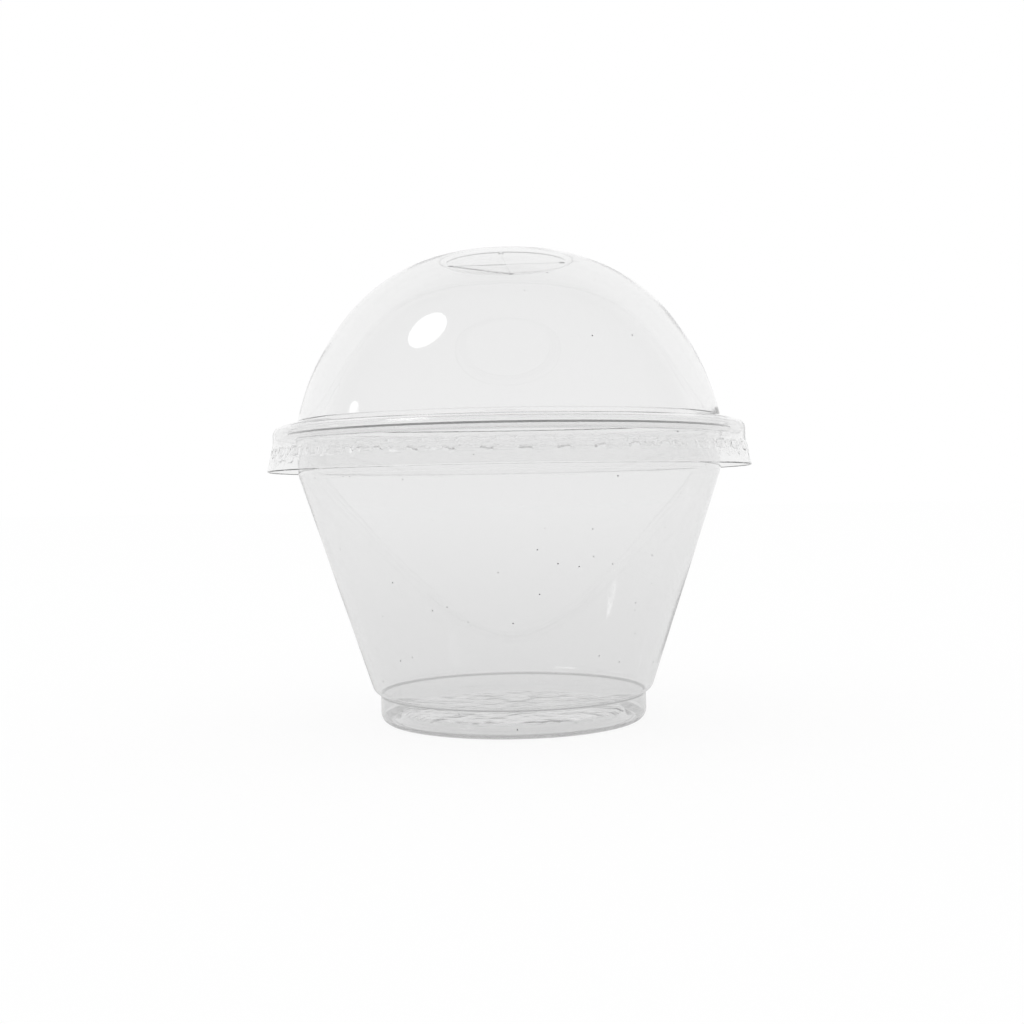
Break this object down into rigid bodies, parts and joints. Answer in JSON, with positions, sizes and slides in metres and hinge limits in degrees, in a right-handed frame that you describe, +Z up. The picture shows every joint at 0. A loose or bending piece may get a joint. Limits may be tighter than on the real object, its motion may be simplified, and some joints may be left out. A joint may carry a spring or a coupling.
{
  "type": "dessert cup with dome lid",
  "caption": "Clear tapered dessert cup with a stepped foot and rolled rim, under a push-on dome lid with a lugged skirt and a cross-cut straw opening in its sunken crown.",
  "frame": {"origin": "on the axis, at the plane the foot stands on", "axes": "+Z up along the axis; +Y away from the viewer of the picture; +X to the viewer's right"},
  "size_m": [0.1014, 0.1014, 0.0973],
  "materials": {
    "cup_sheet": "clear gloss",
    "lid_sheet": "clear gloss"
  },
  "bodies": {
    "cup": {"cup": "cup_sheet"},
    "lid": {"dome_lid": "lid_sheet"}
  },
  "joints": [
    {"name": "lid_lift", "type": "slide", "parent": "cup", "child": "lid", "axis": [0, 0, 1], "range_m": [0, 0.05]}
  ]
}
